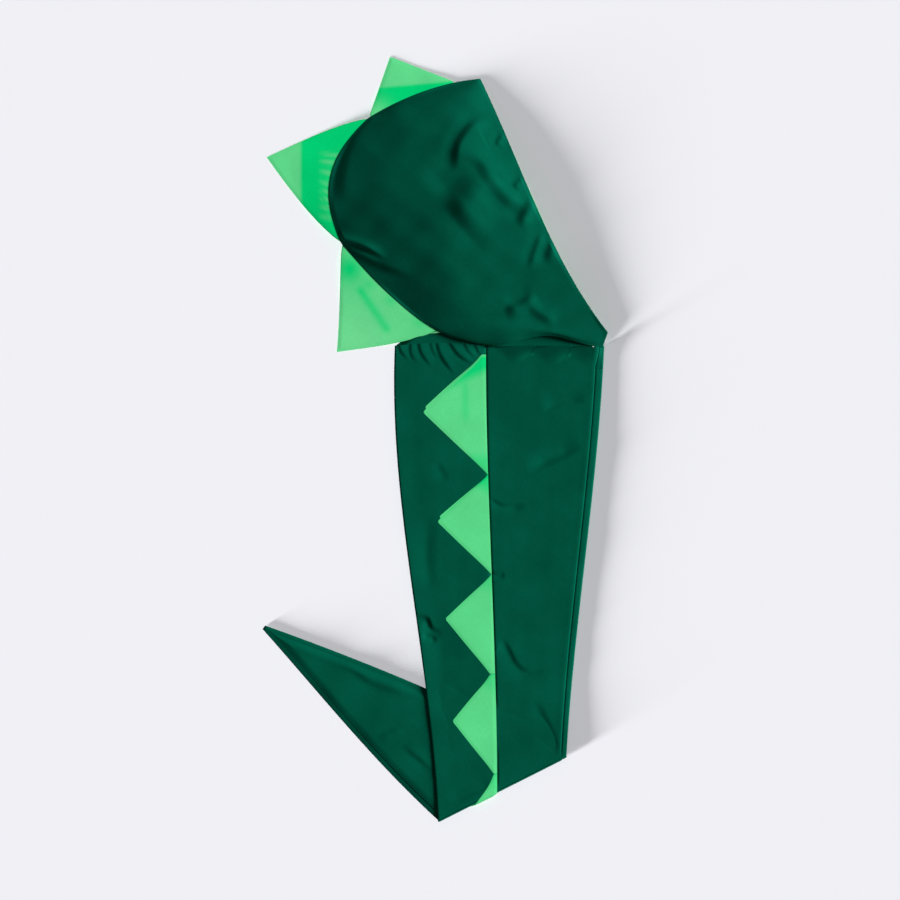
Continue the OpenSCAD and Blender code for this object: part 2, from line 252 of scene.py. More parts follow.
class DragonSizes(bpy.types.PropertyGroup):
    """Sizes of the hood and tail."""

    hood_depth: bpy.props.FloatProperty(
        name="Hood depth", description="Back of the head to the chin corner", default=0.320, unit="LENGTH")
    hood_height: bpy.props.FloatProperty(
        name="Hood height", description="Neck seam to the top of the face edge", default=0.307, unit="LENGTH")
    hood_rise: bpy.props.FloatProperty(
        name="Hood rise", description="Height that the upper half bulges", default=0.022, unit="LENGTH")
    face_gap: bpy.props.FloatProperty(
        name="Face gap", description="Height of the face opening at its middle", default=0.012, unit="LENGTH")
    seam_rise: bpy.props.FloatProperty(
        name="Seam rise", description="Height of the back seam at its middle", default=0.009, unit="LENGTH")
    lining_peek: bpy.props.FloatProperty(
        name="Lining peek", description="Lining that shows past the face edge", default=0.003, unit="LENGTH")
    tail_width: bpy.props.FloatProperty(
        name="Tail width", description="Width at the neck seam", default=0.236, unit="LENGTH")
    tail_length: bpy.props.FloatProperty(
        name="Tail length", description="Neck seam to the tip", default=0.838, unit="LENGTH")
    crease_at: bpy.props.FloatProperty(
        name="Crease", description="Neck seam to the crease along the centre seam", default=0.511,
        unit="LENGTH")
    side_roll: bpy.props.FloatProperty(
        name="Side roll", description="Under panel that shows on top at the neck", default=0.009,
        unit="LENGTH")
    first_spike: bpy.props.FloatProperty(
        name="First spike", description="Length of the first tail spike", default=0.138, unit="LENGTH")
    next_spike: bpy.props.FloatProperty(
        name="Next spikes", description="Length of each later tail spike", default=0.1145, unit="LENGTH")
    first_reach: bpy.props.FloatProperty(
        name="First reach", description="Reach of the first tail spike", default=0.072, unit="LENGTH")
    second_reach: bpy.props.FloatProperty(
        name="Second reach", description="Reach of the second tail spike", default=0.059, unit="LENGTH")
    reach_step: bpy.props.FloatProperty(
        name="Reach step", description="Reach that each later spike loses", default=0.0047, unit="LENGTH")
    cloth: bpy.props.FloatProperty(
        name="Cloth", description="Thickness of one ply", default=0.0005, unit="LENGTH")


class DragonColours(bpy.types.PropertyGroup):
    """Colours of the cloth and of the table."""

    satin: bpy.props.FloatVectorProperty(
        name="Satin", description="Outer shell and tail", subtype="COLOR", default=(0.0005, 0.080, 0.046))
    spike: bpy.props.FloatVectorProperty(
        name="Spike", description="Spike cloth", subtype="COLOR", default=(0.190, 0.810, 0.334))
    # Painted shade: the deep spike colour is a shaded copy of the spike cloth, for where it turns away from
    # the light. By the seams and edges it also stands for the cloth's own deeper colour.
    spike_deep: bpy.props.FloatVectorProperty(
        name="Spike, deep", description="Spike cloth where it is drawn tight", subtype="COLOR",
        default=(0.001, 0.740, 0.205))
    stiffener: bpy.props.FloatVectorProperty(
        name="Stiffener", description="Core of the spikes", subtype="COLOR", default=(0.78, 0.82, 0.74))
    tape: bpy.props.FloatVectorProperty(
        name="Tape", description="Hook and loop patches", subtype="COLOR", default=(0.022, 0.040, 0.033))
    table: bpy.props.FloatVectorProperty(
        name="Table", description="Pale table top", subtype="COLOR", default=(0.871, 0.871, 0.913))


def smooth(t):
    """3t squared less 2t cubed, held at 0 before 0 and at 1 after 1."""
    c = np.clip(t, 0, 1)
    return c * c * (3 - 2 * c)


def mix(a, b, t):
    """From a at t = 0 to b at t = 1."""
    return a + (b - a) * t


def cubic(control, t):
    """A cubic Bezier curve with four control values or points, at the places t."""
    c = np.asarray(control, float)
    t = np.asarray(t, float)
    t = t[..., None] if c.ndim > 1 else t
    return (1 - t) ** 3 * c[0] + 3 * t * (1 - t) ** 2 * c[1] + 3 * t * t * (1 - t) * c[2] + t ** 3 * c[3]


def bell(t):
    """sin(pi t) to the power 0.8, 0 at both ends of 0 to 1."""
    return np.clip(np.sin(np.pi * np.clip(t, 0, 1)), 0, 1) ** 0.8


def through(points, count=32):
    """A smooth line through a few points: Catmull-Rom stretches, cut into a chain."""
    p = np.asarray(points, float)
    if len(p) < 3:
        return p
    p = np.concatenate([[2 * p[0] - p[1]], p, [2 * p[-1] - p[-2]]])
    u = np.linspace(0, len(p) - 3 - 1e-6, count)
    k = u.astype(int)
    f = (u - k)[:, None]
    a, b, c, d = p[k], p[k + 1], p[k + 2], p[k + 3]
    straight = 2 * b + (c - a) * f
    return 0.5 * (straight + (2 * a - 5 * b + 4 * c - d) * f ** 2 + (3 * b - a - 3 * c + d) * f ** 3)


def beside(xy, line):
    """Signed distance of points from a chain, and how far along it the nearest place is, from 0 to 1."""
    start, run = line[:-1], np.diff(line, axis=0)
    length = np.linalg.norm(run, axis=1)
    rel = xy[..., None, :] - start
    f = np.clip((rel * run).sum(-1) / length ** 2, 0, 1)
    off = rel - f[..., None] * run
    gap = np.linalg.norm(off, axis=-1)
    side = np.where(run[:, 0] * off[..., 1] - run[:, 1] * off[..., 0] < 0, -1.0, 1.0)
    place = (np.cumsum(length) - length + f * length) / length.sum()
    near = gap.argmin(-1)[..., None]
    signed = np.take_along_axis(gap * side, near, -1)[..., 0]
    return signed, np.take_along_axis(place, near, -1)[..., 0]


def folds(xy, wanted, sunk=False):
    """Height of folds at points in mm from the nape. Each fold stands on the left of its line: from a
    shallow dip beside the line it climbs across it, over its half width on either side, and falls away over
    its run. A sunk fold climbs the same way, from a hollow on the line's right. Folds fade out at the line's
    ends."""
    height = np.zeros(xy.shape[:-1])
    for points, rise, width, run in wanted:
        q, place = beside(xy, through(points))
        climb = smooth((q + width) / (2 * width))
        if sunk:
            shape = (climb - 1) * np.exp(-(np.clip(q, None, 0) / run) ** 2)
        else:
            dip = 0.25 * np.exp(-((q + 1.5 * width) / (1.2 * width)) ** 2)
            shape = climb * np.exp(-(np.clip(q, 0, None) / run) ** 2) - dip
        height += rise * smooth(3 * np.minimum(place, 1 - place)) * shape
    return height * MM


def ripple(xy, size, seed):
    """Soft unevenness from about -1 to 1: six sine waves in spread directions, of about the given length."""
    wave = np.random.default_rng(seed)
    angle = wave.uniform(0, np.pi, 6)
    number = 2 * np.pi / (size * wave.uniform(0.7, 1.5, 6))
    phase = wave.uniform(0, 2 * np.pi, 6)
    along = xy[..., 0:1] * np.cos(angle) + xy[..., 1:2] * np.sin(angle)
    return np.sin(along * number + phase).sum(-1) / 3


def grid3(xy, z):
    """Points with three coordinates from plan points and heights."""
    return np.concatenate([xy, np.broadcast_to(z, xy.shape[:-1])[..., None]], axis=-1)


def hem(points, radius, run, steps=5):
    """Rolls the last column under: half a turn of the given radius, then a straight run back inwards."""
    last = points[:, -1]
    out = last - points[:, -2]
    out[:, 2] = 0
    out /= np.linalg.norm(out, axis=1, keepdims=True) + 1e-12
    angle = np.linspace(0, np.pi, steps + 1)[1:]
    across = np.concatenate([radius * np.sin(angle), [-run / 2, -run]])
    below = np.concatenate([radius * (1 - np.cos(angle)), [2 * radius, 2 * radius]])
    turn = last[:, None] + across[None, :, None] * out[:, None]
    turn[..., 2] -= below
    return np.concatenate([points, turn], axis=1)


def neck_share(s):
    """How far rows s have gone from the end of the nape spike to the neck seam, from 0 to 1."""
    return np.clip((s - NAPE_END) / (1 - NAPE_END), 0, 1)


class Pattern:
    """Outlines of the cloth as it lies on the table, in metres in the part's frame, and the joints."""

    def __init__(self, sizes):
        joints = {j["name"]: j for j in frame["joints"]}
        self.sizes = sizes
        self.joints = joints
        self.nape = np.array(joints["hood_lift"]["pos_m"])
        self.crease = np.array(joints["tail_unfold"]["pos_m"])
        self.along = -np.array(joints["tail_unfold"]["axis"])[:2]
        self.up = np.array([-self.along[1], self.along[0]])
        self.top = self.nape[2]
        self.chin = self.nape[:2] + [RIGHT_SIDE[1][0] * sizes.tail_width - 2 * MM, 0.3 * MM]
        tip = np.array([self.tail_x(LEFT_SIDE, sizes.tail_length), self.nape[1] - sizes.tail_length])
        self.tip = self.folded(tip)
        start = self.crease_place(RIGHT_SIDE)
        run = self.tip - start
        self.end_line = (start, np.array([run[1], -run[0]]) / np.linalg.norm(run))

    def rel(self, xy):
        """Plan points in mm from the nape."""
        return (xy - self.nape[:2]) / MM

    def place(self, points):
        """Plan points given in mm from the nape."""
        return self.nape[:2] + np.asarray(points, float) * MM

    def hood(self, fractions):
        return self.nape[:2] + np.asarray(fractions) * [self.sizes.hood_depth, self.sizes.hood_height]

    def back_seam(self, s, neck_end):
        """The hood's back seam at rows s, and past its end the straight turn to a place on the neck seam."""
        s = np.asarray(s, float)
        crown = cubic(self.hood(CROWN_CURVE), np.clip(s / CROWN_END, 0, 1))
        back = cubic(self.hood(BACK_CURVE), np.clip((s - CROWN_END) / (BACK_END - CROWN_END), 0, 1))
        nape = cubic(self.hood(NAPE_CURVE), np.clip((s - BACK_END) / (NAPE_END - BACK_END), 0, 1))
        turn = mix(self.hood(NAPE_CURVE[3]), neck_end, neck_share(s)[..., None])
        s = s[..., None]
        lower = np.where(s < NAPE_END, nape, turn)
        return np.where(s < CROWN_END, crown, np.where(s < BACK_END, back, lower))

    def face_edge(self, s):
        """The hood's face edge at rows s, with a short cut-off corner at the chin."""
        s = np.asarray(s, float)
        face = cubic(self.hood(FACE_CURVE), np.clip(s / NAPE_END, 0, 1))
        turn = mix(self.hood(FACE_CURVE[3]), self.chin, neck_share(s)[..., None])
        return np.where(s[..., None] < NAPE_END, face, turn)

    def neck_base(self, s):
        """Height that the hood's edges climb to at the neck seam."""
        return NECK_CLIMB * MM * smooth((s - CLIMB_START) / (1 - CLIMB_START))

    def seam_height(self, s):
        return self.neck_base(s) + SEAM_PLIES * MM + self.sizes.seam_rise * bell(s)

    def tail_x(self, side, d):
        """x of a tail edge or seam at distance d from the neck."""
        split, upper, lower = side
        f = np.asarray(d, float) / self.sizes.tail_length
        first = cubic(upper, np.clip(f / split, 0, 1))
        second = cubic(lower, np.clip((f - split) / (1 - split), 0, 1))
        return self.nape[0] + self.sizes.tail_width * np.where(f < split, first, second)

    def meets_crease(self, x_of, shape=()):
        """Distance from the neck at which lines x = x_of(d) meet the crease, by repeated correction."""
        d = np.full(shape, self.sizes.crease_at)
        slope = self.along[1] / self.along[0]
        for _ in range(12):
            d = self.sizes.crease_at - slope * (x_of(d) - self.crease[0])
        return d

    def crease_place(self, side):
        d = self.meets_crease(lambda q: self.tail_x(side, q))
        return np.array([float(self.tail_x(side, d)), self.nape[1] - float(d)])

    def folded(self, xy):
        """Where plan points of the straight tail lie once the end is turned under about the crease."""
        v = xy - self.crease[:2]
        return self.crease[:2] + (v @ self.along)[..., None] * self.along - (v @ self.up)[..., None] * self.up

    def above_crease(self, xy):
        return (xy - self.crease[:2]) @ self.up

    def above_end(self, xy):
        """Distance of plan points above the upper edge of the folded end."""
        start, normal = self.end_line
        return (xy - start) @ normal

    def neck_lift(self, xy, even=False):
        """Height of the pleats right of the nape at the neck seam: each climbs to the right and drops at its
        end. An even lift is the pleats' mean height."""
        across = (xy[..., 0] - self.nape[0]) / MM - PLEAT_START
        place = across / PLEAT_WIDTH - np.floor(across / PLEAT_WIDTH)
        climb = np.minimum(place / PLEAT_DROP, 1) * (1 - smooth((place - PLEAT_DROP) / (1 - PLEAT_DROP)))
        inside = smooth(across / 2) * smooth((self.chin[0] - xy[..., 0]) / (14 * MM))
        return PLEAT_RISE * MM * inside * (0.5 if even else climb)

    def tail_top(self, xy):
        """Top of the main tail: level at the crease, the neck seam and the left edge, and sagging between."""
        rel = self.rel(xy)
        free = smooth((self.above_crease(xy) - 4 * MM) / (70 * MM)) * smooth(-rel[..., 1] / 30)
        uneven = 0.8 * ripple(rel, 150, 3) + 0.3 * ripple(rel, 55, 4) + 0.1 * ripple(rel, 26, 6)
        inside = smooth((xy[..., 0] - self.tail_x(LEFT_SIDE, -rel[..., 1] * MM)) / (25 * MM))
        return self.top - free * inside * MM * (0.8 + 0.6 * uneven)

    def tail_bottom(self, xy):
        """Underside of the main tail: on the folded end where that lies below, near the table elsewhere."""
        on_end = smooth(1 - (self.above_end(xy) - 10 * MM) / (60 * MM))
        return mix(0.5 * MM, self.crease[2] + 0.5 * MM, on_end)


def cloth(name, grids, thickness, material, tones_and_shade=None):
    """A piece of cloth from grids of points (rows x columns x 3), each with True if its outer side faces up.
    The thickness goes inwards. The plan gives the weave its coordinates, and tones, which hold painted shade
    as well as the cloth's own tone, go into the tone attribute."""
    points, faces, count = [], [], 0
    for grid, faces_up in grids:
        rows, cols = grid.shape[:2]
        i = np.arange(rows * cols).reshape(rows, cols) + count
        quads = np.stack([i[:-1, :-1], i[:-1, 1:], i[1:, 1:], i[1:, :-1]], -1)
        r, c = rows // 2, min(cols // 3, cols - 2)
        normal = np.cross(grid[r, c + 1] - grid[r, c], grid[min(r + 1, rows - 1), c] - grid[r - 1, c])
        if (normal[2] > 0) != faces_up:
            quads = quads[..., ::-1]
        points.append(grid.reshape(-1, 3))
        faces.append(quads.reshape(-1, 4))
        count += rows * cols
    points, faces = np.concatenate(points), np.concatenate(faces)
    mesh = bpy.data.meshes.new(name)
    mesh.from_pydata(points, [], faces)
    mesh.polygons.foreach_set("use_smooth", np.ones(len(faces), bool))
    layer = mesh.uv_layers.new(name="weave")
    layer.data.foreach_set("uv", points[faces.ravel(), :2].astype(np.float32).ravel())
    if tones_and_shade is not None:
        tone = mesh.attributes.new("tone", "FLOAT", "POINT")
        tone.data.foreach_set("value", np.concatenate([t.ravel() for t in tones_and_shade]).astype(np.float32))
    mesh.materials.append(material)
    mesh.update()
    mesh.set_sharp_from_angle(angle=np.radians(SHARP_ANGLE))
    obj = bpy.data.objects.new(name, mesh)
    bpy.context.scene.collection.objects.link(obj)
    solid = obj.modifiers.new("Thickness", "SOLIDIFY")
    solid.thickness = thickness
    solid.offset = -1
    solid.use_even_offset = False
    return obj


def cut_size(grids):
    """Flat width, length and area of grids of cloth: the longest row and column, and the sum of the quads."""
    width = length = area = 0.0
    for grid, _ in grids:
        across = np.linalg.norm(np.diff(grid, axis=1), axis=2)
        down = np.linalg.norm(np.diff(grid, axis=0), axis=2)
        width = max(width, across.sum(1).max())
        length = max(length, down.sum(0).max())
        a = grid[1:, 1:] - grid[:-1, :-1]
        b = grid[1:, :-1] - grid[:-1, 1:]
        area += np.linalg.norm(np.cross(a, b), axis=2).sum() / 2
    return width, length, area


def declare(grids, rests_on):
    """Works out the flat cut of a piece of cloth, with room round it where the cut isn't a rectangle, but
    keeps nothing of it.
    """
    width, length, area = cut_size(grids)
    length = max(10 * MM, np.clip(length, 1.01 * area / width, 2.2 * area / width))
    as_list(rests_on)


def node(tree, kind, **values):
    made = tree.nodes.new(kind)
    for key, value in values.items():
        if key in made.inputs:
            made.inputs[key].default_value = value
        else:
            setattr(made, key, value)
    return made


def yarns(tree, coords, scale):
    """Noise drawn out along the yarns of one direction."""
    stretch = node(tree, "ShaderNodeMapping", Scale=scale)
    noise = node(tree, "ShaderNodeTexNoise", Scale=1.0, Detail=2.0)
    tree.links.new(coords.outputs["UV"], stretch.inputs["Vector"])
    tree.links.new(stretch.outputs[0], noise.inputs["Vector"])
    return noise.outputs[0]


def factor(tree, source, low, high, swing):
    """Turns values between low and high into a factor that swings about 1."""
    graded = node(tree, "ShaderNodeMapRange", **{
        "From Min": low, "From Max": high, "To Min": 1 - swing, "To Max": 1 + swing})
    tree.links.new(source, graded.inputs["Value"])
    return graded.outputs[0]


def cloth_material(name, colour, deep=None, yarn=0.10, blotch=0.10, roughness=0.62, sheen=0.0):
    """Woven cloth: fine streaks along the yarns and soft blotches in the colour, and a bump from the weave.
    A second colour, a shaded copy of the first that paints shade, comes in where the tone attribute is 1."""
    material = bpy.data.materials.new(name)
    material.use_nodes = True
    tree = material.node_tree
    tree.nodes.clear()
    link = tree.links.new
    tint = (*(c / max(colour) for c in colour), 1)
    out = node(tree, "ShaderNodeOutputMaterial")
    bsdf = node(tree, "ShaderNodeBsdfPrincipled", **{
        "Roughness": roughness, "Specular IOR Level": SPECULAR, "Specular Tint": tint,
        "Sheen Weight": sheen, "Sheen Roughness": SHEEN_ROUGHNESS, "Sheen Tint": tint})
    link(bsdf.outputs[0], out.inputs[0])
    coords = node(tree, "ShaderNodeTexCoord")
    weave = node(tree, "ShaderNodeMath", operation="ADD")
    for i, scale in enumerate((YARN_SCALE, YARN_SCALE[::-1])):
        link(yarns(tree, coords, (*scale, 1.0)), weave.inputs[i])
    patch = node(tree, "ShaderNodeTexNoise", Scale=BLOTCH_SCALE, Detail=2.0)
    link(coords.outputs["Object"], patch.inputs["Vector"])
    level = node(tree, "ShaderNodeMath", operation="MULTIPLY")
    link(factor(tree, weave.outputs[0], 0.7, 1.3, yarn), level.inputs[0])
    link(factor(tree, patch.outputs[0], 0.3, 0.7, blotch), level.inputs[1])
    # Painted shade: this mix brings in the shaded second colour by the tone attribute.
    base = node(tree, "ShaderNodeMix", data_type="RGBA")
    base.inputs[6].default_value = (*colour, 1)
    base.inputs[7].default_value = (*(deep or colour), 1)
    if deep is None:
        base.inputs[0].default_value = 0
    else:
        tone = node(tree, "ShaderNodeAttribute", attribute_name="tone")
        link(tone.outputs["Fac"], base.inputs[0])
    shade = node(tree, "ShaderNodeVectorMath", operation="SCALE")
    link(base.outputs[2], shade.inputs[0])
    link(level.outputs[0], shade.inputs["Scale"])
    link(shade.outputs[0], bsdf.inputs["Base Color"])
    bump = node(tree, "ShaderNodeBump", Strength=0.25, Distance=0.0002)
    link(weave.outputs[0], bump.inputs["Height"])
    link(bump.outputs[0], bsdf.inputs["Normal"])
    return material


def made_once(name, colour, **looks):
    """The cloth material of that name, which all its pieces share."""
    return bpy.data.materials.get(name) or cloth_material(name, colour, **looks)


def satin(context):
    return made_once("dark satin", context.scene.dragon_colours.satin, sheen=0.05)


def spike_cloth(context):
    colours = context.scene.dragon_colours
    # Painted shade: the spike cloth's second colour is a shaded copy of the spike colour.
    deep = tuple(colours.spike_deep)
    return made_once("spike cloth", colours.spike, deep=deep, yarn=0.06, blotch=0.05, roughness=0.75)


def lining_cloth(context):
    colours = context.scene.dragon_colours
    return made_once("lining cloth", colours.spike, yarn=0.06, blotch=0.05, roughness=0.75)


def stiffener(context):
    colours = context.scene.dragon_colours
    return made_once("stiffener", colours.stiffener, yarn=0.05, blotch=0.05, roughness=0.9)


def tape(context):
    return made_once("tape", context.scene.dragon_colours.tape, yarn=0.2, roughness=0.8)


def hood_right_plan(p, s, t):
    """Plan of the upper half: rows run straight from the back seam to the face edge. The last rows sag a
    little at the nape, and arch up where the cloth blouses over the neck seam."""
    back = p.back_seam(s, p.nape[:2] + [0, 0.3 * MM])
    back[:, 1] -= NAPE_SAG * MM * np.sin(np.pi * neck_share(s))
    xy = mix(back[:, None], p.face_edge(s)[:, None], t[None, :, None])
    arch = smooth((s - ARCH_START) / (1 - ARCH_START))[:, None]
    xy[..., 1] += NECK_ARCH * MM * arch * np.sin(np.pi * t) ** 2
    return xy


def hood_dome(s, t):
    """Swell of the upper half, from 0 at its edges: each row is a tent with a soft ridge, which lies at the
    row's middle at the crown and nearer the back seam at the neck."""
    ridge = np.clip(RIDGE_START - RIDGE_LEAN * s, *RIDGE_RANGE)[:, None]
    up = np.maximum(t / ridge, 1e-4)
    down = np.maximum((1 - t) / (1 - ridge), 1e-4)
    return DOME_SHARE * bell(s)[:, None] * (up ** -2 + down ** -2) ** (-1 / 2)


def hood_right_height(p, s, t, xy):
    """Height of the upper half: from the back seam to the face edge, with the dome, a lip at the neck, folds,
    and a soft unevenness that fades at the edges."""
    base = p.neck_base(s)
    seam = p.seam_height(s) + SEAM_PLIES * MM
    face = base + 2.8 * MM + 1.8 * p.sizes.face_gap * bell(s)
    level = mix(seam[:, None], face[:, None], t)
    start = smooth((s - LIP_START) / (1 - LIP_START))[:, None]
    lip = MM * (LIP_RISE[0] + LIP_RISE[1] * bell(t)) * start
    rel = p.rel(xy)
    across = np.linalg.norm(xy[:, -1] - xy[:, 0], axis=-1)[:, None]
    free = smooth(t * across / (6 * MM)) * smooth((1 - t) * across / (5 * MM))
    uneven = MM * (0.8 * ripple(rel, 110, 1) + 0.22 * ripple(rel, 38, 2))
    return level + lip + p.sizes.hood_rise * hood_dome(s, t) + free * (uneven + folds(rel, HOOD_FOLDS))


def neck_pleat(points, inner_z, seam_y, seam_z):
    """Continues the last row over the neck seam: a rolled lip, a run back inside, a second turn, and a run
    out to the seam."""
    radius, small, tuck = 1.8 * MM, 0.5 * MM, 7 * MM
    lip = points[-1]
    turn = np.linspace(0, np.pi, 8)[1:]
    second = np.linspace(0, np.pi, 5)[1:]
    out = np.concatenate([-radius * np.sin(turn), [0.5 * tuck, tuck], tuck + small * np.sin(second)])
    down = np.concatenate([radius * (1 - np.cos(turn)), [2 * radius] * 2,
                           2 * radius + small * (1 - np.cos(second))])
    rows = lip[None] + np.zeros((len(out), 1, 3))
    rows[..., 1] += out[:, None]
    drop = (lip[:, 2] - inner_z) / down[-1]
    rows[..., 2] -= down[:, None] * drop
    last = rows[-1]
    end = last.copy()
    end[:, 1] = np.minimum(seam_y, last[:, 1] - 1 * MM)
    end[:, 2] = seam_z
    return np.concatenate([points, rows, mix(last[None], end[None], np.linspace(0, 1, 9)[1:, None, None])])


def spread(count):
    """Places from 0 to 1 that lie closer together near both ends."""
    u = np.linspace(0, 1, count)
    return 0.55 * u + 0.45 * (0.5 - 0.5 * np.cos(np.pi * u))


def hood_left_points(p, s, t):
    """The lower half: rows run from the back seam to just past the face edge, falling to the table from the
    seam's height with the cube of the distance left, and climbing together to the neck."""
    back = p.back_seam(s, np.array([p.tail_x(LEFT_SIDE, 0), p.nape[1] + 0.3 * MM]))
    f = np.clip((s - PEEK_ROWS[0]) / (PEEK_ROWS[1] - PEEK_ROWS[0]), 0, 1)
    peek = 1.25 * p.sizes.lining_peek * np.sin(np.pi * f) * f ** 0.6
    face = p.face_edge(s) + np.stack([peek, 0 * s], -1)
    xy = mix(back[:, None], face[:, None], t[None, :, None])
    base = p.neck_base(s)
    seam = (base + p.sizes.seam_rise * bell(s)) * (1 - smooth((s - NAPE_END) / 0.05))
    high = base[:, None] * smooth((t - 0.1) / 0.4) + seam[:, None] * (1 - t) ** 3
    return grid3(xy, 0.3 * MM + high)


def neck_wedge(p):
    """The part of the lower half's outside that turns up over the left end of the neck seam: rows run from
    the turned edge, which bulges out below the nape spike, to the back seam's line."""
    f = np.linspace(0.02, 1, 40)
    t = np.linspace(0, 1, 60)
    corner = p.hood(NAPE_CURVE[3])
    left = np.array([p.tail_x(LEFT_SIDE, 0), p.nape[1] - 1 * MM])
    run = (left - corner) / np.linalg.norm(left - corner)
    bulge = 5.5 * MM * bell(f)[:, None] * np.array([run[1], -run[0]])
    edge = mix(corner, left, f[:, None]) + bulge
    seam = mix(corner, p.nape[:2] + [5 * MM, -1 * MM], f[:, None])
    xy = mix(edge[:, None], seam[:, None], t[None, :, None])
    away = np.linalg.norm(xy - edge[:, None], axis=-1)
    low = mix(5.0 * MM, 0.9 * MM, smooth(f))[:, None]
    high = p.top - 0.3 * MM + 0.15 * MM * ripple(p.rel(xy), 30, 8)
    return grid3(xy, mix(low, high, smooth(away / (12 * MM))))


class BuildHood(bpy.types.Operator):
    """Builds the two satin halves of the hood."""

    bl_idname = "dragon.hood"
    bl_label = "Hood halves"

    def execute(self, context):
        sizes = context.scene.dragon_sizes
        p = Pattern(sizes)
        s = np.linspace(0, 1, UPPER_GRID[0])
        t = spread(UPPER_GRID[1])
        xy = hood_right_plan(p, s, t)
        points = grid3(xy, hood_right_height(p, s, t, xy))
        lift = p.neck_lift(points[-1, :, :2], even=True)
        inner, seam = p.top - 1.2 * MM + lift, p.top - 0.15 * MM + lift
        points = neck_pleat(points, inner, p.nape[1] - 1 * MM, seam)
        points = hem(points, 0.6 * MM, 4 * MM)
        points = hem(points[:, ::-1], 0.5 * MM, 2 * MM)[:, ::-1]
        grids = [(points, True)]
        right = cloth("hood_right_half", grids, sizes.cloth, satin(context))
        declare(grids, ["hood_right_lining"])
        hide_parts("hood_right_shell")
        left_points = hood_left_points(p, np.linspace(0, 1, LOWER_GRID[0]), spread(LOWER_GRID[1]))
        grids = [(left_points, False), (neck_wedge(p), True)]
        left = cloth("hood_left_half", grids, sizes.cloth, satin(context))
        declare(grids, ["table"])
        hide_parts("hood_left_shell")
        for half in (right, left):
            bend_at_neck(p, half)
        return {"FINISHED"}


def bend_at_neck(p, obj):
    """Bakes the hood cloth's transform into its mesh."""
    x, y, z = p.nape
    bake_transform(obj)


class BuildLinings(bpy.types.Operator):
    """Builds the two linings of the hood."""

    bl_idname = "dragon.linings"
    bl_label = "Hood linings"

    def execute(self, context):
        sizes = context.scene.dragon_sizes
        p = Pattern(sizes)
        rows, cols = LINING_GRID
        s = np.linspace(0.004, 0.985, rows)
        t = mix(0.006, 0.992, spread(cols))
        xy = hood_right_plan(p, s, t)
        upper = grid3(xy, hood_right_height(p, s, t, xy) - 1.0 * MM)
        lower = hood_left_points(p, s, mix(0.004, 1.0, spread(cols)))
        lower[..., 2] += 0.75 * MM
        for name, points, faces_up, stands_for in (
            ("hood_right_lining_cloth", upper, False, "hood_right_lining"),
            ("hood_left_lining_cloth", lower, True, "hood_left_lining"),
        ):
            grids = [(points, faces_up)]
            lining = cloth(name, grids, 0.6 * sizes.cloth, lining_cloth(context))
            declare(grids, ["hood_left_half"])
            bend_at_neck(p, lining)
            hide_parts(stands_for)
        return {"FINISHED"}


def hood_spike_points(p, name, layer, rows=46, cols=40):
    """A ply or the core of a hood spike: a patch between its two edges and the seam. It lies on the table at
    the point and climbs to the seam, and its plies part over the core."""
    first, last, edge_a, edge_b = HOOD_SPIKES[name]
    core = layer == 1
    s = mix(*HOOD_CORE[0], spread(cols)) if core else spread(cols)
    t = mix(*HOOD_CORE[1], spread(rows)) if core else spread(rows)
    a = cubic(p.place(edge_a), t)[:, None]
    b = cubic(p.place(edge_b), t)[:, None]
    row = mix(first, last, s)
    seam = p.back_seam(np.minimum(row, last - 1e-4), p.nape[:2])
    ends = mix(cubic(p.place(edge_a), 1.0), cubic(p.place(edge_b), 1.0), s[:, None])
    xy = mix(a, b, s[None, :, None]) + (t ** 1.6)[:, None, None] * (seam - ends)[None]
    joint = p.joints[f"hood_spike_{name}_lift"]
    outward = np.array([-joint["axis"][1], joint["axis"][0]])
    xy = xy - (2 * MM * smooth((t - 0.9) / 0.1))[:, None, None] * outward
    climb = np.clip((t - 0.35) / 0.65, 0, 1) ** 1.5
    seam_z = p.seam_height(row)
    rel = p.rel(xy)
    width = np.linalg.norm(b - a, axis=-1)
    rim = smooth(np.minimum(s, 1 - s) * width / (7 * MM)) * smooth(t * 12)[:, None]
    puff = HOOD_LAYERS[layer] + HOOD_PUFF[layer] * rim * (1 - 0.8 * climb[:, None])
    wavy = 0.4 * ripple(rel, 60, 11) * rim
    z = climb[:, None] * (seam_z - 0.8 * MM) + MM * (puff + wavy)
    return grid3(xy, z)


def spot(rel, x, y, size):
    """A soft round spot, 1 at its middle."""
    return np.exp(-((rel[..., 0] - x) ** 2 + (rel[..., 1] - y) ** 2) / size ** 2)


def streak(rel, start, end, size):
    """A soft stroke between two places, 1 along its middle."""
    return np.exp(-(beside(rel, np.array([start, end], float))[0] / size) ** 2)


